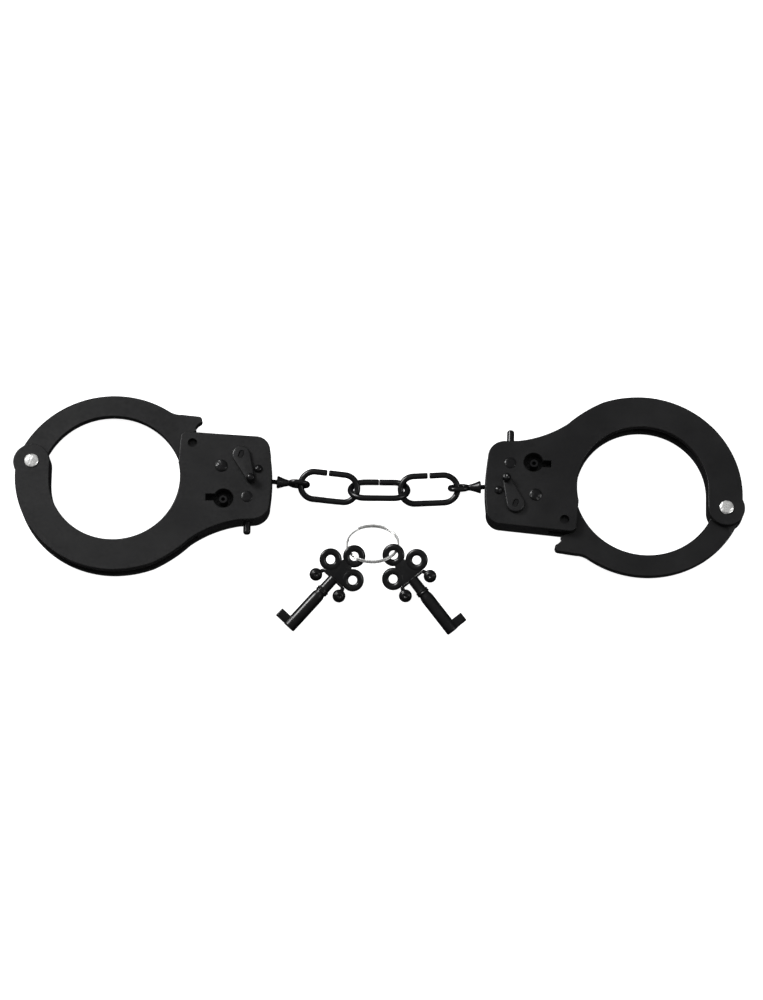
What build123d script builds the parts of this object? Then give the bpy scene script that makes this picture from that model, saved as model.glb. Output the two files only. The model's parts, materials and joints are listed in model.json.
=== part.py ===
"""Pair of double-bow handcuffs with a three-link chain, two keys and a split ring."""

import os
from math import cos, radians, sin

from build123d import *

os.makedirs("parts", exist_ok=True)

# ---- driving dimensions, mm -------------------------------------------------
plate_t = 2.65  # each cheek plate
gap_t = 3.7  # space between the cheeks
top_z = 2 * plate_t + gap_t
mid_z = top_z / 2
edge_r = 0.35  # rounded edge of the plates

wrist_r = 25.2
bow_r = 37.1  # at the bottom of the bow
hinge_x, hinge_y = -32.1, 6.5
eye_r = 6.9
tooth_tip_r = 60.0  # from the hinge
tooth_depth = 0.95
tooth_pitch = 1.5  # degrees
tooth_count = 20
tooth_start = 11.2  # degrees above the hinge's x axis
jaw_t = 3.4

post_x, post_y = 41.3, -8.65
lever_x, lever_y = 48.0, 8.6
lever_tip_x, lever_tip_y = 51.75, -1.2
pawl_x, pawl_y = 40.45, 4.4
rear_x, rear_y = 50.35, -8.0
corner_x, corner_y = 29.2, 13.85
stop_x, stop_y = 54.55, 3.2
lock_x, lock_r = 50.4, 1.6
swivel_x = 59.3

wire_r = 1.15  # chain links
link_r = 5.25
link_straight = 11.3
eye_wire_r = 1.0
eye_bend = 2.5
eye_straight = 1.75

# where each cuff sits: x, y, turn about z; then the swivel's y, angle, push-in and roll
cuff_places = {
    "a": (-101.59, 6.34, 0.0, -0.5, -4.74, -0.3, 2.0),
    "b": (99.19, 1.77, 177.55, 0.6, 4.65, 0.1, -31.0),
}
lock_pushed = {"a": 1.1, "b": 0.0}  # how far each push pin is in
# chain links: centre x, centre y, yaw, roll, then the slit's place and length on the far strand
links = [
    (-20.1, 3.7, -6.57, 18.0, -0.9, 0.6),
    (-0.95, 2.4, -0.6, -36.0, 0.0, 0.06),
    (18.2, 2.7, 2.37, 18.0, 0.0, 0.6),
]


def polar(cx, cy, r, angle):
    """A point at a radius and an angle in degrees about a centre."""
    return (cx + r * cos(radians(angle)), cy + r * sin(radians(angle)))


# ---- cheek outline: one C-shaped plate, closed loop --------------------------
eye_in = (hinge_x + eye_r, hinge_y)
eye_out = (-38.3, 3.0)
bow_end = (15.2, -34.4)
housing_low = (28.8, -24.9)
housing_floor = (47.5, -17.2)
low_corner = [(52.6, -16.95), (57.1, -15.0), (59.0, -10.4)]
right_edge = (59.7, 0.2)
top_corner = [(59.0, 10.2), (57.5, 14.7), (53.3, 16.55)]

with BuildSketch() as cheek_outline:
    with BuildLine():
        ThreePointArc(eye_in, (hinge_x, hinge_y + eye_r), eye_out)
        ThreePointArc(eye_out, (-27.2, -25.5), (0.3, -bow_r))
        TangentArc((0.3, -bow_r), bow_end, tangent=(1, 0))
        ThreePointArc(bow_end, (22.8, -29.9), housing_low)
        ThreePointArc(housing_low, (37.4, -20.05), housing_floor)
        Line(housing_floor, low_corner[0])
        ThreePointArc(*low_corner)
        ThreePointArc(low_corner[-1], right_edge, top_corner[0])
        ThreePointArc(*top_corner)
        Line(top_corner[-1], (27.2, 18.4))
        ThreePointArc((27.2, 18.4), (25.4, 17.7), (24.65, 16.0))
        Line((24.65, 16.0), (24.0, 5.9))
        ThreePointArc((24.0, 5.9), (-0.2, 0.25 - wrist_r), (-wrist_r, 0))
        Line((-wrist_r, 0), eye_in)
    make_face()

rivet_spots = [
    (hinge_x, hinge_y, 2.0),
    (corner_x, corner_y, 1.4),
    (pawl_x, pawl_y, 1.5),
    (rear_x, rear_y, 1.2),
]

# ---- cheeks -----------------------------------------------------------------
with BuildPart() as back_cheek:
    with BuildSketch(Plane.XY):
        add(cheek_outline.sketch)
    extrude(amount=plate_t)
    fillet(back_cheek.faces().sort_by(Axis.Z)[0].outer_wire().edges(), edge_r)
    for x, y, r in rivet_spots + [(post_x, post_y, 1.5)]:
        with BuildSketch(Plane.XY):
            with Locations((x, y)):
                Circle(r)
        extrude(amount=plate_t, mode=Mode.SUBTRACT)
    with BuildSketch(Plane.XY.offset(1.0)):
        with Locations((lever_x, lever_y)):
            Circle(1.55)
    extrude(amount=plate_t, mode=Mode.SUBTRACT)

with BuildPart() as front_cheek:
    with BuildSketch(Plane.XY.offset(top_z - plate_t)):
        add(cheek_outline.sketch)
    extrude(amount=plate_t)
    fillet(front_cheek.faces().sort_by(Axis.Z)[-1].outer_wire().edges(), edge_r)
    for x, y, r in rivet_spots + [(stop_x, stop_y, 1.0), (lever_x, lever_y, 1.55)]:
        with BuildSketch(Plane.XY.offset(top_z - plate_t)):
            with Locations((x, y)):
                Circle(r)
        extrude(amount=plate_t, mode=Mode.SUBTRACT)
    # recess round the corner rivet
    with BuildSketch(Plane.XY.offset(top_z - 2.4)):
        with Locations((corner_x, corner_y)):
            Circle(1.8)
    extrude(amount=2.4, mode=Mode.SUBTRACT)
    # keyhole: round for the barrel, slot for the bit
    with BuildSketch(Plane.XY.offset(top_z - plate_t)):
        with Locations((41.5, post_y)):
            Circle(3.75)
        with Locations((38.1, post_y + 0.45)):
            Rectangle(6.8, 2.6)
    extrude(amount=plate_t, mode=Mode.SUBTRACT)
    keyhole_rim = front_cheek.edges().filter_by(lambda e: e.center().Z > top_z - 0.01)
    keyhole_rim = [e for e in keyhole_rim if abs(e.center().Y - post_y) < 4 and 34 < e.center().X < 46]
    chamfer(keyhole_rim, 0.2)

# ---- lock frame: the wall between the cheeks --------------------------------
with BuildSketch() as housing_outline:
    with BuildLine():
        ThreePointArc((31.8, -22.5), (39.0, -19.3), housing_floor)
        Line(housing_floor, low_corner[0])
        ThreePointArc(*low_corner)
        ThreePointArc(low_corner[-1], right_edge, top_corner[0])
        ThreePointArc(*top_corner)
        Line(top_corner[-1], (35.0, 17.85))
        Line((35.0, 17.85), (31.8, -22.5))
    make_face()

with BuildSketch() as housing_inside:
    with BuildLine():
        ThreePointArc((31.8, -20.75), (39.4, -17.6), (47.5, -15.8))
        Line((47.5, -15.8), (53.2, -15.5))
        ThreePointArc((53.2, -15.5), (56.1, -14.0), (57.6, -10.4))
        ThreePointArc((57.6, -10.4), (58.3, 0.2), (57.6, 10.2))
        ThreePointArc((57.6, 10.2), (56.5, 13.6), (53.2, 15.1))
        Line((53.2, 15.1), (35.6, 16.4))
        Line((35.6, 16.4), (35.0, 7.6))
        Line((35.0, 7.6), (31.0, 7.6))
        Line((31.0, 7.6), (31.0, -20.75))
        Line((31.0, -20.75), (31.8, -20.75))
    make_face()


def lock_frame(swivel_y, swivel_angle):
    """The housing wall, with the lock pin hole, the spring seat and a swivel hole."""
    with BuildPart() as frame:
        with BuildSketch(Plane.XY.offset(plate_t)):
            add(housing_outline.sketch)
            add(housing_inside.sketch, mode=Mode.SUBTRACT)
        extrude(amount=gap_t)
        with BuildSketch(Plane((lock_x, -14, mid_z), x_dir=(1, 0, 0), z_dir=(0, -1, 0))):
            Circle(lock_r + 0.1)
        extrude(amount=5, mode=Mode.SUBTRACT)
        along = (cos(radians(swivel_angle)), sin(radians(swivel_angle)), 0)
        with BuildSketch(Plane((swivel_x, swivel_y, mid_z), z_dir=along)):
            Circle(1.15)
        extrude(amount=3, both=True, mode=Mode.SUBTRACT)
    return frame


# ---- jaw: curved arm, ear and ratchet teeth ---------------------------------
tooth_points = []
for i in range(tooth_count):
    up = tooth_start - i * tooth_pitch
    tooth_points.append(polar(hinge_x, hinge_y, tooth_tip_r - tooth_depth, up))
    tooth_points.append(polar(hinge_x, hinge_y, tooth_tip_r, up - 0.12))
jaw_tip_out = polar(hinge_x, hinge_y, tooth_tip_r - 0.5, -18.9)
ear_notch = (30.0, 20.9)

with BuildPart() as jaw:
    with BuildSketch(Plane.XY.offset(mid_z - jaw_t / 2)):
        with BuildLine():
            ThreePointArc((-37.1, 10.7), (-14.8, 31.7), (20.1, 27.5))
            ThreePointArc((20.1, 27.5), (21.9, 26.7), (24.5, 26.35))
            Line((24.5, 26.35), (31.0, 25.6))
            ThreePointArc((31.0, 25.6), (32.5, 24.5), (32.1, 23.1))
            ThreePointArc((32.1, 23.1), (30.8, 22.2), ear_notch)
            Polyline(ear_notch, (30.4, 19.7), *tooth_points, jaw_tip_out)
            ThreePointArc(jaw_tip_out, (23.5, -13.9), (22.9, -13.1))
            ThreePointArc((22.9, -13.1), (6.4, 24.6), (-26.6, 9.9))
            ThreePointArc((-26.6, 9.9), (hinge_x, hinge_y - 6.5), (-37.1, 10.7))
        make_face()
        with Locations((hinge_x, hinge_y)):
            Circle(2.06, mode=Mode.SUBTRACT)
    extrude(amount=jaw_t)


# ---- rivets and pins --------------------------------------------------------
def headed_rivet(x, y, shank_r, head_r, head_h, low_z=0.0):
    """A shank from low_z to the front face, and a domed head on the front face."""
    with BuildPart() as rivet:
        with BuildSketch(Plane.XZ.offset(-y)):
            with BuildLine():
                Polyline((x, low_z), (x + shank_r, low_z), (x + shank_r, top_z), (x + head_r, top_z))
                Line((x + head_r, top_z), (x + head_r - 0.1, top_z + head_h * 0.4))
                TangentArc(
                    (x, top_z + head_h), (x + head_r - 0.1, top_z + head_h * 0.4), tangent=(1, 0)
                )
                Line((x, top_z + head_h), (x, low_z))
            make_face()
        revolve(axis=Axis((x, y, 0), (0, 0, 1)))
    return rivet


hinge_rivet = headed_rivet(hinge_x, hinge_y, 2.0, 2.65, 0.95)
pawl_rivet = headed_rivet(pawl_x, pawl_y, 1.5, 2.4, 0.8)
rear_rivet = headed_rivet(rear_x, rear_y, 1.2, 2.2, 0.55)
stop_pin = headed_rivet(stop_x, stop_y, 1.0, 1.65, 1.35, top_z - plate_t)

with BuildPart() as corner_rivet:
    with BuildSketch(Plane.XY):
        with Locations((corner_x, corner_y)):
            Circle(1.4)
    extrude(amount=top_z - 2.3)

with BuildPart() as key_post:
    with BuildSketch(Plane.XY):
        with Locations((post_x, post_y)):
            Circle(1.5)
    extrude(amount=7.8)
    with BuildSketch(Plane.XY.offset(5.0)):
        with Locations((post_x, post_y)):
            Circle(0.75)
    extrude(amount=3, mode=Mode.SUBTRACT)

# ---- pawl: ratchet lever with a key lobe and a tail for the lever -----------
pawl_t = 3.3
pawl_face_r = tooth_tip_r + 0.14
pawl_teeth = []
for i in range(4):
    up = -7.75 - i * tooth_pitch
    pawl_teeth.append(polar(hinge_x, hinge_y, pawl_face_r + tooth_depth, up))
    pawl_teeth.append(polar(hinge_x, hinge_y, pawl_face_r, up - tooth_pitch + 0.12))

with BuildPart() as pawl:
    with BuildSketch(Plane.XY.offset(mid_z - pawl_t / 2)):
        with BuildLine():
            Polyline(
                (45.18, 11.0),
                (42.4, 11.0),
                (41.6, 7.6),
                (38.6, 7.2),
                (29.2, -0.9),
                *pawl_teeth,
                (28.6, -8.2),
                (33.4, -7.4),
                (35.4, -4.9),
                (36.7, -5.1),
                (38.6, -2.9),
                (42.4, 0.9),
                (43.6, 3.2),
                (45.18, 6.4),
                (45.18, 11.0),
            )
        make_face()
        with Locations((pawl_x, pawl_y)):
            Circle(1.56, mode=Mode.SUBTRACT)
    extrude(amount=pawl_t)

# leaf spring between the frame's seat and the tail
with BuildPart() as pawl_spring:
    with BuildSketch(Plane.XY.offset(mid_z - 1.4)):
        with BuildLine():
            Polyline((35.85, 15.0), (35.65, 9.0), (40.9, 13.4), (41.7, 10.2))
            offset(amount=0.24, side=Side.BOTH)
        make_face()
    extrude(amount=2.8)

# ---- release lever, its shaft and knob --------------------------------------
lever_low = top_z + 0.15
with BuildPart() as release_lever:
    with BuildSketch(Plane.XY.offset(lever_low)) as lever_face:
        with Locations((lever_x, lever_y)):
            Circle(3.45)
        with Locations((lever_tip_x, lever_tip_y)):
            Circle(1.6)
        make_hull()
    extrude(amount=1.45)
    fillet(release_lever.faces().sort_by(Axis.Z)[-1].outer_wire().edges(), 0.5)
    with BuildSketch(Plane.XY.offset(lever_low)):
        with Locations(Location((lever_x, lever_y, 0), (0, 0, 70))):
            Rectangle(2.9, 1.4)
    extrude(amount=1.45, mode=Mode.SUBTRACT)

with BuildPart() as lever_shaft:
    with BuildSketch(Plane.XY.offset(1.05)):
        with Locations((lever_x, lever_y)):
            Circle(1.5)
    extrude(amount=top_z - 1.05)
    # eccentric that pushes the pawl's tail
    with BuildSketch(Plane.XY.offset(plate_t + 0.15)):
        with Locations(polar(lever_x, lever_y, 0.62, 289)):
            Circle(3.0)
    extrude(amount=gap_t - 0.3)
    with BuildSketch(Plane.XY.offset(top_z)):
        with Locations(Location((lever_x, lever_y, 0), (0, 0, 70))):
            Rectangle(2.9, 1.4)
    extrude(amount=1.25)

knob_r = 1.75
with BuildPart() as lever_knob:
    with Locations((lever_tip_x, lever_tip_y, lever_low + 1.45 + 0.85)):
        Sphere(knob_r)
    with Locations((lever_tip_x, lever_tip_y, lever_low + 1.45 - 5)):
        Box(12, 12, 10, mode=Mode.SUBTRACT)

# ---- double-lock slider: push pin and the bar under the pawl ----------------
with BuildPart() as lock_slider:
    with BuildSketch(Plane.XY.offset(mid_z - 1.55)):
        with BuildLine():
            Polyline(
                (32.4, -11.5),
                (34.5, -11.5),
                (34.8, -15.4),
                (43.4, -15.4),
                (44.8, -14.8),
                (48.4, -13.6),
                (52.8, -13.6),
                (52.8, -15.4),
                (48.0, -15.6),
                (43.0, -16.45),
                (37.5, -17.9),
                (32.4, -19.6),
                (32.4, -11.5),
            )
        make_face()
    extrude(amount=3.1)
    with BuildSketch(Plane((lock_x, -14.2, mid_z), x_dir=(1, 0, 0), z_dir=(0, -1, 0))):
        Circle(lock_r)
    extrude(amount=8.9)
    with Locations(Location((lock_x, -24.6, mid_z), (0, 0, -14))):
        Box(6, 3.6, 5, mode=Mode.SUBTRACT)

# detent spring: ring on the rear rivet with a leg beside the slider
with BuildPart() as lock_spring:
    with BuildSketch(Plane.XY.offset(mid_z - 1.2)):
        with Locations((rear_x, rear_y)):
            Circle(1.9)
        with BuildLine():
            Polyline(
                (52.0, -7.9), (53.4, -9.4), (53.4, -14.6), (52.95, -14.6),
                (52.95, -9.6), (51.5, -8.7), (52.0, -7.9),
            )
        make_face()
        with Locations((rear_x, rear_y)):
            Circle(1.2, mode=Mode.SUBTRACT)
    extrude(amount=2.4)


# ---- swivel: head in the housing, neck, flared base and wire eye ------------
def swivel():
    """Built along +x from the housing's edge."""
    with BuildPart() as part:
        with BuildSketch(Plane.XZ):
            with BuildLine():
                Polyline(
                    (-3.2, 0), (-3.2, 1.6), (-1.5, 1.6), (-1.5, 0.88), (2.0, 0.88), (2.05, 2.2),
                    (2.5, 2.42), (2.9, 2.2), (6.2, 1.25), (7.2, 1.0), (7.2, 0), (-3.2, 0),
                )
            make_face()
        revolve(axis=Axis.X)
        with BuildLine(Plane.XZ) as path:
            x0 = 7.0 + eye_bend
            x1 = x0 + eye_straight
            Line((x0, -eye_bend), (x1, -eye_bend))
            ThreePointArc((x1, -eye_bend), (x1 + eye_bend, 0), (x1, eye_bend))
            Line((x1, eye_bend), (x0, eye_bend))
            ThreePointArc((x0, eye_bend), (x0 - eye_bend, 0), (x0, -eye_bend))
        with BuildSketch(Plane((x0, 0, -eye_bend), z_dir=(1, 0, 0))):
            Circle(eye_wire_r)
        sweep(path=path.wires()[0])
    return part


# ---- chain links: rounded loops of wire -------------------------------------
def chain_link(slit_x, slit):
    """A loop in the XY plane, with a slit in its +y strand."""
    half = link_straight / 2
    with BuildPart() as part:
        with BuildLine() as path:
            Line((slit_x + slit / 2, link_r), (half, link_r))
            ThreePointArc((half, link_r), (half + link_r, 0), (half, -link_r))
            Line((half, -link_r), (-half, -link_r))
            ThreePointArc((-half, -link_r), (-half - link_r, 0), (-half, link_r))
            Line((-half, link_r), (slit_x - slit / 2, link_r))
        with BuildSketch(Plane((slit_x + slit / 2, link_r, 0), z_dir=(1, 0, 0))):
            Circle(wire_r)
        sweep(path=path.wires()[0])
    return part


# ---- keys -------------------------------------------------------------------
lobe_r, lobe_half_w, lobe_half_h = 3.08, 1.2, 0.75
lobe_spots = [(-7.0, 0), (0, 5.75), (0, -5.75)]
key_length, barrel_r = 29.5, 2.45
bit_w, bit_reach = 3.6, 6.6
ball_r = 2.45


with BuildPart() as key_lobes:
    with Locations(*lobe_spots):
        Torus(lobe_r, lobe_half_w)
    Box(30, 30, 2 * lobe_half_h, mode=Mode.INTERSECT)


def key(bit_side):
    """A barrel key along +x, its three-lobed bow at the origin."""
    with BuildPart() as part:
        add(key_lobes.part)
        with BuildSketch(Plane.XZ):
            with BuildLine():
                Polyline(
                    (4.6, 0), (4.6, 2.0), (10.0, 2.1), (10.3, 2.4), (11.5, 2.4), (11.8, 2.1),
                    (13.2, barrel_r), (key_length, barrel_r), (key_length, 1.6), (19.0, 1.6),
                    (19.0, 0), (4.6, 0),
                )
            make_face()
        revolve(axis=Axis.X)
        # web that joins the lobes to the stem
        with BuildSketch(Plane.XY.offset(-0.65)):
            with BuildLine():
                Polyline(
                    (-4.1, 1.4), (-1.5, 3.1), (2.9, 4.3), (4.9, 4.9), (4.9, -4.9), (2.9, -4.3),
                    (-1.5, -3.1), (-4.1, -1.4), (-4.1, 1.4),
                )
            make_face()
        extrude(amount=1.3)
        with Locations((4.8, 0, 0)):
            Box(0.8, 11.2, 2.2)
        for side in (-1, 1):
            with Locations((7.9, side * 6.0, 0)):
                Sphere(ball_r)
            with Locations((7.9, side * 6.0, ball_r + 0.25)):
                Sphere(1.0, mode=Mode.SUBTRACT)
            with BuildSketch(Plane((4.95, side * 5.1, 0), z_dir=(2.6, side * 0.9, 0))):
                Circle(0.8)
            extrude(amount=2.4)
        # bit, its root inside the barrel's wall
        with Locations((key_length - 1.9, bit_side * (2.0 + bit_reach) / 2, 0)):
            Box(bit_w, bit_reach - 2.0, 2.2)
    return part


# ---- split ring: a double coil of wire --------------------------------------
ring_r = 9.75
coil_pitch, coil_turns, coil_wire_r = 0.74, 1.9, 0.36
with BuildPart() as split_ring:
    with BuildLine() as coil:
        Helix(pitch=coil_pitch, height=coil_pitch * coil_turns, radius=ring_r)
    with BuildSketch(Plane(coil.line @ 0, z_dir=coil.line % 0)):
        Circle(coil_wire_r)
    sweep(path=coil.wires()[0], is_frenet=True)

# ---- place everything in one set --------------------------------------------
placed = {}
for side, (x, y, turn, swivel_y, swivel_angle, push_in, swivel_roll) in cuff_places.items():
    spot = Location((x, y, 0), (0, 0, turn))
    frame = lock_frame(swivel_y, swivel_angle)
    for name, piece in {
        "back_cheek": back_cheek,
        "front_cheek": front_cheek,
        "lock_frame": frame,
        "jaw": jaw,
        "hinge_rivet": hinge_rivet,
        "corner_rivet": corner_rivet,
        "pawl_rivet": pawl_rivet,
        "rear_rivet": rear_rivet,
        "stop_pin": stop_pin,
        "key_post": key_post,
        "pawl": pawl,
        "pawl_spring": pawl_spring,
        "release_lever": release_lever,
        "lever_shaft": lever_shaft,
        "lever_knob": lever_knob,
        "lock_spring": lock_spring,
    }.items():
        placed[f"{name}_{side}"] = piece.part.moved(spot)
    placed[f"lock_slider_{side}"] = lock_slider.part.moved(spot * Location((0, lock_pushed[side], 0)))
    on_cuff = Location((swivel_x, swivel_y, mid_z), (0, 0, swivel_angle))
    seated = Location((-push_in, 0, 0), (swivel_roll, 0, 0))
    placed[f"swivel_{side}"] = swivel().part.moved(spot * on_cuff * seated)

for i, (x, y, yaw, roll, slit_x, slit) in enumerate(links):
    seat = Location((x, y, mid_z), (0, 0, yaw)) * Location((0, 0, 0), (roll, 0, 0))
    placed[f"chain_link_{i + 1}"] = chain_link(slit_x, slit).part.moved(seat)

# keys rest on their tips, their bows held up by the ring: x, y, z, turn, lift, roll, bit side
key_places = {
    "a": (-15.03, -30.31, 7.06, 226.7, 9.0, -19.7, -1),
    "b": (8.82, -30.14, 6.92, -51.7, 8.7, 18.8, 1),
}
for side, (x, y, z, turn, lift, roll, hand) in key_places.items():
    seat = Location((x, y, z), (0, 0, turn)) * Location((0, 0, 0), (0, lift, 0))
    placed[f"key_{side}"] = key(hand).part.moved(seat * Location((0, 0, 0), (roll, 0, 0)))

ring_tilt = 28.6
ring_place = (-3.3, -19.4, 5.22)
ring_seat = Location(ring_place, (-ring_tilt, 0, 0))
ring_seat = ring_seat * Location((0, 0, -coil_pitch * coil_turns / 2), (0, 0, 161))
placed["split_ring"] = split_ring.part.moved(ring_seat)

# centre the whole set on the origin
boxes = [piece.bounding_box() for piece in placed.values()]
middle_x = (min(b.min.X for b in boxes) + max(b.max.X for b in boxes)) / 2
middle_y = (min(b.min.Y for b in boxes) + max(b.max.Y for b in boxes)) / 2
centring = Location((-middle_x, -middle_y, 0))
for name, piece in placed.items():
    final = piece.moved(centring)
    final.label = name
    export_step(final, f"parts/{name}.step")
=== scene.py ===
"""Handcuffs with chain, keys and split ring: materials, detail, light and camera."""

import json
from math import cos, exp, hypot, pi, radians, sin, sqrt

import bmesh
import bpy
from mathutils import Matrix, Vector, noise as field


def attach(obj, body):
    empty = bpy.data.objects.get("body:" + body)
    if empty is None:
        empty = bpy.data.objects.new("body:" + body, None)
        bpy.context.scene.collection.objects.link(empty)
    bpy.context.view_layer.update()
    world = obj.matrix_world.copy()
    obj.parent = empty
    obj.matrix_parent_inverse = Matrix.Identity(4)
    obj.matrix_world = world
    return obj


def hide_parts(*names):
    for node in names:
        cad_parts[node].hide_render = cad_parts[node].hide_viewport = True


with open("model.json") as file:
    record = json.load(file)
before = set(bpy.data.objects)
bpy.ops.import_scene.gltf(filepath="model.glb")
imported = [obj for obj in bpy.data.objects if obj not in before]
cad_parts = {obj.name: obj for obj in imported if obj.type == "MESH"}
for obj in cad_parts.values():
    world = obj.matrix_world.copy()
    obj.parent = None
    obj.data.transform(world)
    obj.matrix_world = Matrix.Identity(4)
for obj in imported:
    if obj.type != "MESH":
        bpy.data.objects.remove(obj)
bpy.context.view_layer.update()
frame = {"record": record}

MM = 0.001

# ---- where things lie, mm: the same numbers as the CAD ----------------------
SHIFT = Vector((1.3517, 7.0886, 0.0))
MID_Z, TOP_Z = 4.5, 9.0
CUFFS = {
    "a": (-101.59, 6.34, 0.0, -0.5, -4.74, -0.3, 2.0),
    "b": (99.19, 1.77, 177.55, 0.6, 4.65, 0.1, -31.0),
}
LINKS = [
    (-20.1, 3.7, -6.57, 18.0, -0.9, 0.6),
    (-0.95, 2.4, -0.6, -36.0, 0.0, 0.06),
    (18.2, 2.7, 2.37, 18.0, 0.0, 0.6),
]
KEYS = {
    "a": (-15.03, -30.31, 7.06, 226.7, 9.0, -19.7, -1),
    "b": (8.82, -30.14, 6.92, -51.7, 8.7, 18.8, 1),
}
RING, RING_TILT, RING_PHASE = (-3.3, -19.4, 5.22), -28.6, 161
PIN_PUSHED = {"a": 1.1, "b": 0.0}
LOCK_PIN, SWIVEL_X = (50.4, -14.2), 59.3
KNOB_R, LEVER_GAP, LEVER_T = 1.72, 0.15, 1.45
WIRE_R, EYE_WIRE_R, RING_WIRE_R = 1.15, 1.0, 0.36


# ---- camera -----------------------------------------------------------------
def make_camera():
    """The photograph's view: from the front, 71 degrees up, about a metre away."""
    elevation, distance = radians(71), 1.0
    target = Vector((0.00135, 0.00709, 0.0))
    away = Vector((0, -cos(elevation), sin(elevation)))
    camera = bpy.data.cameras.new("camera")
    camera.lens, camera.sensor_width = 93.85, 36
    camera.clip_start, camera.clip_end = 0.01, 20
    holder = bpy.data.objects.new("camera", camera)
    holder.location = target + away * distance
    holder.rotation_euler = (pi / 2 - elevation, 0, 0)
    bpy.context.collection.objects.link(holder)
    bpy.context.scene.camera = holder


# ---- node helpers -----------------------------------------------------------
def new_material(name):
    """A material with its node tree and Principled shader."""
    material = bpy.data.materials.new(name)
    material.use_nodes = True
    tree = material.node_tree
    shader = tree.nodes["Principled BSDF"]
    return material, tree, shader


def add_node(tree, kind, **settings):
    """A node with its inputs or properties set by name."""
    node = tree.nodes.new(kind)
    for key, value in settings.items():
        if key in node.inputs:
            node.inputs[key].default_value = value
        else:
            setattr(node, key, value)
    return node


def noise(tree, scale, detail=3.0, roughness=0.55):
    """Noise over the object's own coordinates, in metres."""
    place = tree.nodes.new("ShaderNodeTexCoord")
    texture = add_node(tree, "ShaderNodeTexNoise", Scale=scale, Detail=detail, Roughness=roughness)
    tree.links.new(place.outputs["Object"], texture.inputs["Vector"])
    return texture.outputs["Fac"]


def ramp(tree, source, stops):
    """A colour ramp from a list of (position, grey or rgb)."""
    node = tree.nodes.new("ShaderNodeValToRGB")
    while len(node.color_ramp.elements) < len(stops):
        node.color_ramp.elements.new(0.5)
    for element, (position, value) in zip(node.color_ramp.elements, stops):
        rgb = value if isinstance(value, tuple) else (value, value, value)
        element.position = position
        element.color = (*rgb, 1)
    tree.links.new(source, node.inputs["Fac"])
    return node.outputs["Color"]


def bump(tree, shader, source, strength, distance):
    """Surface relief from a grey value."""
    node = add_node(tree, "ShaderNodeBump", Strength=strength, Distance=distance)
    tree.links.new(source, node.inputs["Height"])
    tree.links.new(node.outputs["Normal"], shader.inputs["Normal"])
    return node


# ---- materials --------------------------------------------------------------
def black_enamel():
    """Semi-matte charcoal coating with a fine grain and slightly cloudy tone."""
    material, tree, shader = new_material("black_enamel")
    stops = [(0.35, (0.0042, 0.0042, 0.0044)), (0.7, (0.0068, 0.0068, 0.0070))]
    cloud = ramp(tree, noise(tree, 60, 4), stops)
    tree.links.new(cloud, shader.inputs["Base Color"])
    rough = ramp(tree, noise(tree, 900, 2), [(0.3, 0.32), (0.7, 0.42)])
    tree.links.new(rough, shader.inputs["Roughness"])
    shader.inputs["Specular IOR Level"].default_value = 0.18
    bump(tree, shader, noise(tree, 5200, 2), 0.25, 0.00006)
    return material


def gloss_black():
    """Glossier black enamel, with small waves that break up its highlights."""
    material, tree, shader = new_material("gloss_black")
    stops = [(0.35, (0.0018, 0.0018, 0.0020)), (0.7, (0.0034, 0.0034, 0.0036))]
    cloud = ramp(tree, noise(tree, 160, 3), stops)
    tree.links.new(cloud, shader.inputs["Base Color"])
    rough = ramp(tree, noise(tree, 700, 3), [(0.3, 0.27), (0.7, 0.31)])
    tree.links.new(rough, shader.inputs["Roughness"])
    shader.inputs["Specular IOR Level"].default_value = 0.3
    bump(tree, shader, noise(tree, 1500, 3), 0.08, 0.00006)
    return material


def satin_black():
    """The lever's smooth satin black."""
    material, tree, shader = new_material("satin_black")
    stops = [(0.35, (0.0055, 0.0055, 0.0058)), (0.7, (0.0078, 0.0078, 0.0080))]
    cloud = ramp(tree, noise(tree, 160, 3), stops)
    tree.links.new(cloud, shader.inputs["Base Color"])
    rough = ramp(tree, noise(tree, 700, 3), [(0.3, 0.30), (0.7, 0.36)])
    tree.links.new(rough, shader.inputs["Roughness"])
    shader.inputs["Specular IOR Level"].default_value = 0.26
    return material


def nickel():
    """Soft satin nickel with a light mottle."""
    material, tree, shader = new_material("nickel")
    tone = ramp(tree, noise(tree, 700, 4), [(0.3, (0.34, 0.34, 0.335)), (0.7, (0.52, 0.52, 0.51))])
    tree.links.new(tone, shader.inputs["Base Color"])
    rough = ramp(tree, noise(tree, 1600, 3), [(0.3, 0.22), (0.7, 0.34)])
    tree.links.new(rough, shader.inputs["Roughness"])
    shader.inputs["Metallic"].default_value = 0.6
    bump(tree, shader, noise(tree, 900, 3), 0.15, 0.0001)
    return material


def inner_steel():
    """Dark oiled steel of the lock's inner pieces."""
    material, tree, shader = new_material("inner_steel")
    tone = ramp(tree, noise(tree, 300, 3), [(0.3, (0.02, 0.02, 0.021)), (0.7, (0.05, 0.05, 0.05))])
    tree.links.new(tone, shader.inputs["Base Color"])
    rough = ramp(tree, noise(tree, 900, 2), [(0.3, 0.35), (0.7, 0.5)])
    tree.links.new(rough, shader.inputs["Roughness"])
    shader.inputs["Metallic"].default_value = 0.8
    bump(tree, shader, noise(tree, 2500, 2), 0.3, 0.00005)
    return material


def paper_white():
    """The pale studio floor."""
    material, tree, shader = new_material("paper_white")
    tone = ramp(tree, noise(tree, 3, 2), [(0.3, 0.33), (0.7, 0.35)])
    tree.links.new(tone, shader.inputs["Base Color"])
    shader.inputs["Emission Color"].default_value = (1, 1, 1, 1)
    shader.inputs["Emission Strength"].default_value = 0.9
    shader.inputs["Roughness"].default_value = 0.9
    shader.inputs["Specular IOR Level"].default_value = 0.1
    return material


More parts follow.
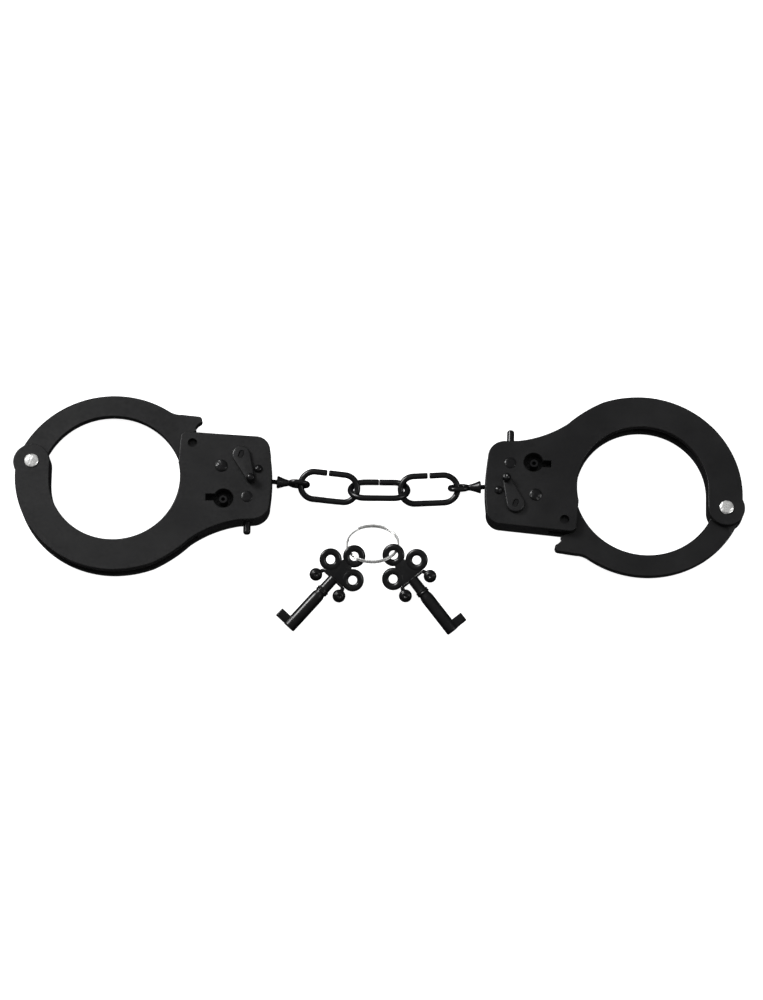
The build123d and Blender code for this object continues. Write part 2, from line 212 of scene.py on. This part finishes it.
def dress_cad_nodes(materials):
    """Every CAD node takes the finish of its record slot."""
    slots = {piece["node"]: piece["material_slot"] for piece in frame["record"]["subparts"]}
    for node, name in slots.items():
        piece = bpy.data.objects[node]
        piece.data.materials.clear()
        piece.data.materials.append(materials[name])


# ---- mesh helpers -----------------------------------------------------------
def turned(axis, degrees):
    return Matrix.Rotation(radians(degrees), 4, axis)


def at(x, y, z):
    return Matrix.Translation((x, y, z))


def add_piece(name, verts, faces, seat, finish, body, replaced=(), sharp=35, coat=None):
    """A smooth-shaded mesh from local mm points, set in place and hung on its CAD body."""
    mesh = bpy.data.meshes.new(name)
    mesh.from_pydata([tuple(c * MM for c in v) for v in verts], [], faces)
    mesh.validate()
    mesh.shade_smooth()
    mesh.set_sharp_from_angle(angle=radians(sharp))
    piece = bpy.data.objects.new(name, mesh)
    bpy.context.collection.objects.link(piece)
    place = at(*SHIFT) @ seat
    place.translation = place.translation * MM
    piece.matrix_world = place
    mesh.materials.append(materials[coat or finish])
    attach(piece, body)
    if replaced:
        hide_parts(*replaced)
    return piece


def skin(rings, closed_along=False, cap=True):
    """Faces over a list of equal rings of points."""
    count = len(rings[0])
    verts = [p for ring in rings for p in ring]
    faces = []
    last = len(rings) if closed_along else len(rings) - 1
    for i in range(last):
        a, b = i * count, ((i + 1) % len(rings)) * count
        for j in range(count):
            k = (j + 1) % count
            faces.append((a + j, a + k, b + k, b + j))
    if cap and not closed_along:
        faces.append(tuple(range(count))[::-1])
        faces.append(tuple(range((len(rings) - 1) * count, len(rings) * count)))
    return verts, faces


def lathe(profile, steps=72, axis="X", relief=None):
    """Rings about an axis from (along, radius) pairs; relief moves a point as a function."""
    rings = []
    for along, radius in profile:
        ring = []
        for i in range(steps):
            t = 2 * pi * i / steps
            if axis == "X":
                point = (along, radius * cos(t), radius * sin(t))
            else:
                point = (radius * cos(t), radius * sin(t), along)
            ring.append(relief(*point) if relief else point)
        rings.append(ring)
    return skin(rings)


def tube(points, radius, closed=False, steps=22, rounded=True):
    """A round wire along a polyline, its open ends drawn in to soft tips."""
    points = [Vector(p) for p in points]
    count = len(points)
    side = None
    rings = []
    for i, point in enumerate(points):
        ahead = points[(i + 1) % count] if closed or i < count - 1 else point
        behind = points[i - 1] if closed or i > 0 else point
        along = (ahead - behind).normalized()
        if side is None:
            side = along.orthogonal().normalized()
        side = (side - along * side.dot(along)).normalized()
        other = along.cross(side)
        r = radius
        if rounded and not closed:
            near = min((point - points[0]).length, (point - points[-1]).length) / (0.45 * radius)
            r = radius * (0.72 + 0.28 * sqrt(1 - (1 - min(near, 1)) ** 2))
        ring = []
        for j in range(steps):
            t = 2 * pi * j / steps
            ring.append(tuple(point + (side * cos(t) + other * sin(t)) * r))
        rings.append(ring)
    return skin(rings, closed_along=closed)


def slab(points, low, high, bevel, segments=3):
    """A plate from an outline, every edge rounded."""
    shape = bmesh.new()
    bottom = [shape.verts.new((x, y, low)) for x, y in points]
    face = shape.faces.new(bottom)
    moved = bmesh.ops.extrude_face_region(shape, geom=[face])["geom"]
    bmesh.ops.translate(
        shape, vec=(0, 0, high - low), verts=[g for g in moved if isinstance(g, bmesh.types.BMVert)]
    )
    bmesh.ops.recalc_face_normals(shape, faces=shape.faces)
    bmesh.ops.bevel(
        shape, geom=shape.edges[:], offset=bevel, segments=segments, affect="EDGES", profile=0.5
    )
    shape.verts.index_update()
    verts = [tuple(v.co) for v in shape.verts]
    faces = [tuple(v.index for v in f.verts) for f in shape.faces]
    shape.free()
    return verts, faces


def softened(node, body, finish, width):
    """A copy of a CAD node with its sharp edges slightly rounded."""
    source = bpy.data.objects[node]
    shape = bmesh.new()
    shape.from_mesh(source.data)
    bmesh.ops.remove_doubles(shape, verts=shape.verts, dist=1e-6)
    bmesh.ops.dissolve_limit(
        shape, angle_limit=radians(0.5), verts=shape.verts, edges=shape.edges
    )
    sharp = [e for e in shape.edges if len(e.link_faces) == 2 and e.calc_face_angle(0) > radians(25)]
    bmesh.ops.bevel(
        shape, geom=sharp, offset=width * MM, segments=2, affect="EDGES", clamp_overlap=True, profile=0.5
    )
    for face in shape.faces:
        face.smooth = True
    for edge in shape.edges:
        broad = any(face.calc_area() > 50 * MM**2 for face in edge.link_faces)
        edge.smooth = not broad and edge.calc_face_angle(0) < radians(40)
    mesh = bpy.data.meshes.new(f"{node}_soft")
    shape.to_mesh(mesh)
    shape.free()
    piece = bpy.data.objects.new(f"{node}_soft", mesh)
    bpy.context.collection.objects.link(piece)
    piece.matrix_world = source.matrix_world.copy()
    mesh.materials.append(materials[finish])
    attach(piece, body)
    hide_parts(node)


def arc_points(cx, cy, r, start, end, steps):
    return [
        (cx + r * cos(radians(start + (end - start) * i / steps)),
         cy + r * sin(radians(start + (end - start) * i / steps)))
        for i in range(steps + 1)
    ]


# ---- rivets and pins --------------------------------------------------------
def hammered(dents, grain, head, height, lip):
    """Relief for a turned head: flat marks, each a (direction, depth) pair, and a fine grain."""
    marks = []
    for direction, depth in dents:
        way = Vector(direction).normalized()
        rim = sqrt((head * hypot(way.x, way.y)) ** 2 + ((height - lip) * way.z) ** 2)
        marks.append((way, (1.0 + lip) * way.z + rim - depth))

    def relief(x, y, z):
        centre = Vector((0, 0, TOP_Z - 1.0))
        point = Vector((x, y, z)) - centre
        if z > TOP_Z - 0.05:
            for direction, reach in marks:
                over = point.dot(direction) - reach
                if over > 0:
                    point -= direction * over
            point += point.normalized() * grain * field.noise(Vector((x, y, z)) * 1.3)
        return tuple(point + centre)

    return relief


def dome(low_z, shank, head, height, lip, steps=16):
    """A rivet's half section: shank, lip and rounded head."""
    profile = [(low_z, 0.02), (low_z, shank), (TOP_Z, shank), (TOP_Z, head - 0.12)]
    profile.append((TOP_Z + lip * 0.5, head))
    for i in range(steps + 1):
        t = pi / 2 * i / steps
        profile.append((TOP_Z + lip + (height - lip) * sin(t), max(head * cos(t), 0.02)))
    return profile


RIVETS = {
    "hinge_rivet": (-32.1, 6.5, 0, 2.0, 2.68, 0.95, 0.3, "nickel",
                    [((-0.4, 0.3, 1.0), 0.14), ((0.6, -0.3, 1.1), 0.10), ((0.2, 0.9, 0.9), 0.16)], 0.09),
    "pawl_rivet": (40.45, 4.4, 0, 1.5, 2.4, 0.85, 0.2, "gloss_black",
                   [((-0.35, 0.3, 1.0), 0.22), ((0.7, 0.1, 0.9), 0.12), ((0.1, -0.7, 0.8), 0.12)], 0.06),
    "rear_rivet": (50.35, -8.0, 0, 1.2, 2.2, 0.5, 0.1, "black_enamel",
                   [((0.0, 0.0, 1.0), 0.08), ((-0.7, 0.1, 0.8), 0.1)], 0.03),
    "stop_pin": (54.55, 3.2, 6.35, 1.0, 1.6, 1.3, 0.15, "gloss_black",
                 [((0.5, 0.3, 0.8), 0.12), ((-0.5, 0.4, 0.8), 0.2)], 0.05),
}


def make_rivets(side, spot):
    """Hammered heads on the four visible rivets and pins."""
    for name, (x, y, low_z, shank, head, height, lip, finish, dents, grain) in RIVETS.items():
        relief = hammered(dents, grain, head, height, lip)
        verts, faces = lathe(dome(low_z, shank, head, height, lip), 64, "Z", relief)
        node = f"{name}_{side}"
        coat = "gloss_black" if name == "rear_rivet" else finish
        seat = spot @ at(x, y, 0)
        add_piece(f"{node}_head", verts, faces, seat, finish, f"cuff_{side}", (node,), 40, coat)


# ---- release lever ----------------------------------------------------------
LEVER, TIP = Vector((48.0, 8.6)), Vector((51.75, -1.2))


def lever_reach(angle, inset):
    """Distance from the lever's pivot to its teardrop outline, drawn in by an inset."""
    ray, span = Vector((cos(angle), sin(angle))), TIP - LEVER
    best = 0.0
    for i in range(41):
        s = i / 40
        along, radius = ray.dot(span * s), 3.45 - 1.85 * s - inset
        inside = radius**2 - (span * s).length_squared + along**2
        if inside > 0:
            best = max(best, along + sqrt(inside))
    return best


def slot_reach(angle, grow):
    """Distance to the edge of the shaft's slot, a rounded oblong turned 70 degrees."""
    t = angle - radians(70)
    return 1.0 / ((abs(cos(t)) / (1.55 + grow)) ** 3 + (abs(sin(t)) / (0.95 + grow)) ** 3) ** (1 / 3)


def make_lever(side, spot):
    """Teardrop lever with a soft edge, its slotted shaft end and its dimpled knob."""
    low_z, high_z, steps = TOP_Z + LEVER_GAP, TOP_Z + LEVER_GAP + LEVER_T, 144
    layers = [("slot", 0.0, low_z), ("slot", 0.0, high_z - 0.12), ("slot", 0.12, high_z)]
    for i in range(6):
        t = pi / 2 * i / 5
        layers.append(("edge", 0.55 * (1 - sin(t)), high_z - 0.55 * (1 - cos(t))))
    layers += [("edge", 0.0, low_z + 0.1), ("edge", 0.1, low_z)]
    rings = []
    for kind, amount, z in layers:
        reach = slot_reach if kind == "slot" else lever_reach
        ring = []
        for j in range(steps):
            t = 2 * pi * j / steps
            ring.append((reach(t, amount) * cos(t), reach(t, amount) * sin(t), z))
        rings.append(ring)
    verts, faces = skin(rings, closed_along=True)
    seat = spot @ at(LEVER.x, LEVER.y, 0)
    plate = (f"release_lever_{side}",)
    add_piece(
        f"lever_plate_{side}", verts, faces, seat, "gloss_black", f"lever_{side}", plate, coat="satin_black"
    )

    def dimple(x, y, z):
        point = Vector((x, y, z))
        tilt = point.angle(Vector((0.25, -0.1, 1.0)))
        return tuple(point * (1 - 0.22 * exp(-((tilt / 0.33) ** 2))))

    ball = [(-1.0, 1.3)]
    ball += [(KNOB_R * sin(t), KNOB_R * cos(t)) for t in (i * 0.075 - 0.55 for i in range(28))]
    verts, faces = lathe(ball + [(1.718, 0.02)], 64, "Z", dimple)
    seat = spot @ at(TIP.x, TIP.y, TOP_Z + 2.45)
    add_piece(
        f"knob_ball_{side}", verts, faces, seat, "gloss_black", f"lever_{side}", (f"lever_knob_{side}",)
    )


# ---- double-lock slider ------------------------------------------------------
def make_slider(side, spot):
    """The bar under the pawl, and its push pin with a rounded end."""
    bar = [
        (32.4, -19.6), (37.5, -17.9), (43.0, -16.45), (48.0, -15.6), (52.8, -15.4), (52.8, -13.6),
        (48.4, -13.6), (44.8, -14.8), (43.4, -15.4), (34.8, -15.4), (34.5, -11.5), (32.4, -11.5),
    ]
    seat = spot @ at(0, PIN_PUSHED[side], 0)
    node, body = f"lock_slider_{side}", f"lock_{side}"
    shape = slab(bar, MID_Z - 1.55, MID_Z + 1.55, 0.2)
    add_piece(f"slider_bar_{side}", *shape, seat, "gloss_black", body, (node,))
    pin = [(0.0, 0.02), (0.0, 1.2), (0.2, 1.4), (7.65, 1.4)]
    pin += [(7.65 + 0.95 * sin(t), 0.45 + 0.95 * cos(t)) for t in (i * 0.196 for i in range(1, 9))]
    pin.append((8.61, 0.02))
    seat = seat @ at(*LOCK_PIN, MID_Z) @ turned("Z", -90)
    add_piece(f"slider_pin_{side}", *lathe(pin, 56), seat, "gloss_black", body)


# ---- swivels and chain ------------------------------------------------------
def make_swivel(side, spot):
    """Turned neck with a flared collar, and an eye bent from its wire."""
    _, _, _, y, angle, push_in, roll = CUFFS[side]
    seat = spot @ at(SWIVEL_X, y, MID_Z) @ turned("Z", angle) @ at(-push_in, 0, 0) @ turned("X", roll)
    neck = [
        (-3.2, 0.02), (-3.2, 1.5), (-3.1, 1.6), (-1.6, 1.6), (-1.5, 1.5), (-1.5, 0.88), (1.7, 0.88),
        (1.98, 1.05), (2.05, 2.15), (2.2, 2.34), (2.45, 2.4), (2.75, 2.32), (3.3, 2.1), (4.2, 1.78),
        (5.2, 1.46), (6.0, 1.27), (6.7, 1.1), (7.15, 0.85), (7.4, 0.5), (7.45, 0.02),
    ]
    verts, faces = lathe(neck, 64)
    node = f"swivel_{side}"
    add_piece(f"swivel_neck_{side}", verts, faces, seat, "gloss_black", node, (node,))
    near, far, bend = 7.0 + 2.5, 7.0 + 2.5 + 1.75, 2.5
    loop = arc_points(far, 0, bend, -90, 90, 24) + arc_points(near, 0, bend, 90, 270, 24)
    path = []
    for x, z in loop:
        path.append((x, 0.1 * field.noise(Vector((x, z, 3.0))), z))
    verts, faces = tube(path, EYE_WIRE_R, closed=True)
    add_piece(f"swivel_eye_{side}", verts, faces, seat, "gloss_black", f"swivel_{side}")


def make_links():
    """Three loops of wire, each with its two drawn-in ends meeting on one strand."""
    half, bend = 5.65, 5.25
    for index, (x, y, yaw, roll, slit_x, slit) in enumerate(LINKS):
        right, left = slit_x + slit / 2 + 0.02, slit_x - slit / 2 - 0.02
        path = [(right + (half - right) * (i / 14) ** 1.5, bend) for i in range(14)]
        path += arc_points(half, 0, bend, 90, -90, 36)
        path += [(half - 2 * half * i / 12, -bend) for i in range(1, 12)]
        path += arc_points(-half, 0, bend, 270, 90, 36)
        path += [(left - (half + left) * ((13 - i) / 14) ** 1.5, bend) for i in range(14)]
        seed = Vector((index * 7.0, 1.0, 2.0))
        bent = []
        for px, py in path:
            sway = field.noise(Vector((px, py, 0)) * 0.16 + seed) * 0.10
            bent.append((px, py + sway, sway * 0.6))
        verts, faces = tube(bent, WIRE_R)
        seat = at(x, y, MID_Z) @ turned("Z", yaw) @ turned("X", roll)
        node = f"chain_link_{index + 1}"
        add_piece(f"{node}_wire", verts, faces, seat, "gloss_black", node, (node,), 50)


# ---- keys and ring ----------------------------------------------------------
def key_ball(x, y, z):
    """A cast ball with a pit on top and a shallow ring round it."""
    point = Vector((x, y, z))
    tilt = point.angle(Vector((0, 0, 1)))
    dip = 0.26 * exp(-((tilt / 0.26) ** 2)) + 0.06 * exp(-(((tilt - 0.78) / 0.1) ** 2))
    return tuple(point * (1 - dip))


def make_key(side):
    """Three-lobed bow, web, cross bar, two pitted balls, turned stem and bit."""
    x, y, z, turn, lift, roll, hand = KEYS[side]
    seat = at(x, y, z) @ turned("Z", turn) @ turned("Y", lift) @ turned("X", roll)
    body, node = f"key_{side}", f"key_{side}"

    def part(name, shape, replaced=(), place=seat, sharp=35):
        add_piece(f"key_{name}_{side}", *shape, place, "gloss_black", body, replaced, sharp)

    for number, (lx, ly) in enumerate([(-7.0, 0.0), (0.0, 5.75), (0.0, -5.75)]):
        rings = []
        for i in range(64):
            t = 2 * pi * i / 64
            ring = []
            for j in range(24):
                u = 2 * pi * j / 24
                r = 2.98 + 1.3 * cos(u)
                ring.append((lx + r * cos(t), ly + r * sin(t), 0.88 * sin(u)))
            rings.append(ring)
        part(f"lobe_{number + 1}", skin(rings, closed_along=True), (node,) if number == 0 else ())
    web = [
        (-4.3, 1.5), (-1.6, 3.2), (2.9, 4.4), (4.9, 5.0),
        (4.9, -5.0), (2.9, -4.4), (-1.6, -3.2), (-4.3, -1.5),
    ]
    part("web", slab(web, -0.65, 0.65, 0.3))
    bar = [(4.35, -5.6), (5.15, -5.6), (5.15, 5.6), (4.35, 5.6)]
    part("bar", slab(bar, -1.15, 1.15, 0.28))
    stem = [
        (4.4, 0.02), (4.4, 1.7), (4.6, 2.0), (9.6, 2.05), (9.9, 2.1), (10.15, 2.4), (10.5, 2.48),
        (10.75, 2.3), (10.9, 2.3), (11.15, 2.46), (11.5, 2.42), (11.75, 2.1), (12.1, 2.05), (13.0, 2.36),
        (14.0, 2.45), (28.9, 2.45), (29.3, 2.38), (29.5, 2.2), (29.5, 1.7), (29.3, 1.6), (20.0, 1.6),
        (20.0, 0.02),
    ]
    part("stem", lathe(stem, 80))
    for number, hand_side in enumerate((-1, 1)):
        ball = [(-2.448, 0.02)]
        ball += [(2.45 * sin(t), 2.45 * cos(t)) for t in (i * 0.06 - 1.5 for i in range(51))]
        place = seat @ at(7.9, hand_side * 6.0, 0)
        part(f"ball_{number + 1}", lathe(ball + [(2.449, 0.02)], 72, "Z", key_ball), place=place)
        arm = [(4.9 + i * 0.35, hand_side * (5.1 + i * 0.12), 0) for i in range(8)]
        part(f"arm_{number + 1}", tube(arm, 0.78, rounded=False))
    near, far = hand * 1.8, hand * 6.6
    bit = [(25.8, near), (29.4, near), (29.4, far), (25.8, far)]
    part("bit", slab(bit if hand > 0 else bit[::-1], -1.1, 1.1, 0.22))


def make_ring():
    """Two turns of fine wire, wound close."""
    pitch, turns, steps = 0.74, 1.9, 260
    path = []
    for i in range(steps + 1):
        t = turns * 2 * pi * i / steps
        path.append((9.75 * cos(t), 9.75 * sin(t), pitch * t / (2 * pi) - pitch * turns / 2))
    verts, faces = tube(path, RING_WIRE_R, steps=16)
    seat = at(*RING) @ turned("X", RING_TILT) @ turned("Z", RING_PHASE)
    add_piece("ring_wire", verts, faces, seat, "nickel", "split_ring", ("split_ring",), 50)


# ---- studio -----------------------------------------------------------------
def make_floor():
    """A large plain floor just under the cuffs."""
    mesh = bpy.data.meshes.new("floor")
    side, down = 6.0, -0.0001
    corners = [(-side, -side, down), (side, -side, down), (side, side, down), (-side, side, down)]
    mesh.from_pydata(corners, [], [(0, 1, 2, 3)])
    floor = bpy.data.objects.new("floor", mesh)
    bpy.context.collection.objects.link(floor)
    floor.data.materials.append(paper_white())
    floor.visible_glossy = False


def area_light(name, position, size, power, target=(0, 0, 0), mirrored=True):
    """A soft rectangular light aimed at the object."""
    light = bpy.data.lights.new(name, "AREA")
    light.shape, light.size, light.size_y = "RECTANGLE", size[0], size[1]
    light.energy = power
    holder = bpy.data.objects.new(name, light)
    holder.location = position
    holder.rotation_euler = (Vector(target) - Vector(position)).to_track_quat("-Z", "Y").to_euler()
    holder.visible_glossy = mirrored
    bpy.context.collection.objects.link(holder)


def make_lights():
    """Overhead fill, a softbox at the back left, and a surround that darkens towards the floor."""
    area_light("top_fill", (0.0, 0.2, 1.4), (2.0, 1.6), 26, mirrored=False)
    area_light("left_soft", (-0.8, 0.62, 0.8), (0.5, 0.35), 24)
    area_light("right_soft", (0.95, -0.1, 0.75), (0.25, 0.5), 3)
    world = bpy.data.worlds.new("studio")
    world.use_nodes = True
    tree = world.node_tree
    way = tree.nodes.new("ShaderNodeTexCoord")
    split = tree.nodes.new("ShaderNodeSeparateXYZ")
    tree.links.new(way.outputs["Generated"], split.inputs["Vector"])
    sky = ramp(tree, split.outputs["Z"], [(0.0, 0.01), (0.35, 0.12), (0.9, 0.22)])
    tree.links.new(sky, tree.nodes["Background"].inputs["Color"])
    bpy.context.scene.world = world
    bpy.context.scene.view_settings.view_transform = "Standard"


make_camera()
materials = {
    "black_enamel": black_enamel(),
    "gloss_black": gloss_black(),
    "satin_black": satin_black(),
    "nickel": nickel(),
    "inner_steel": inner_steel(),
}
dress_cad_nodes(materials)
for side, (x, y, turn, *_) in CUFFS.items():
    spot = at(x, y, 0) @ turned("Z", turn)
    make_rivets(side, spot)
    make_lever(side, spot)
    make_swivel(side, spot)
    make_key(side)
    softened(f"jaw_{side}", f"jaw_{side}", "black_enamel", 0.22)
    make_slider(side, spot)
make_links()
make_ring()
make_floor()
make_lights()
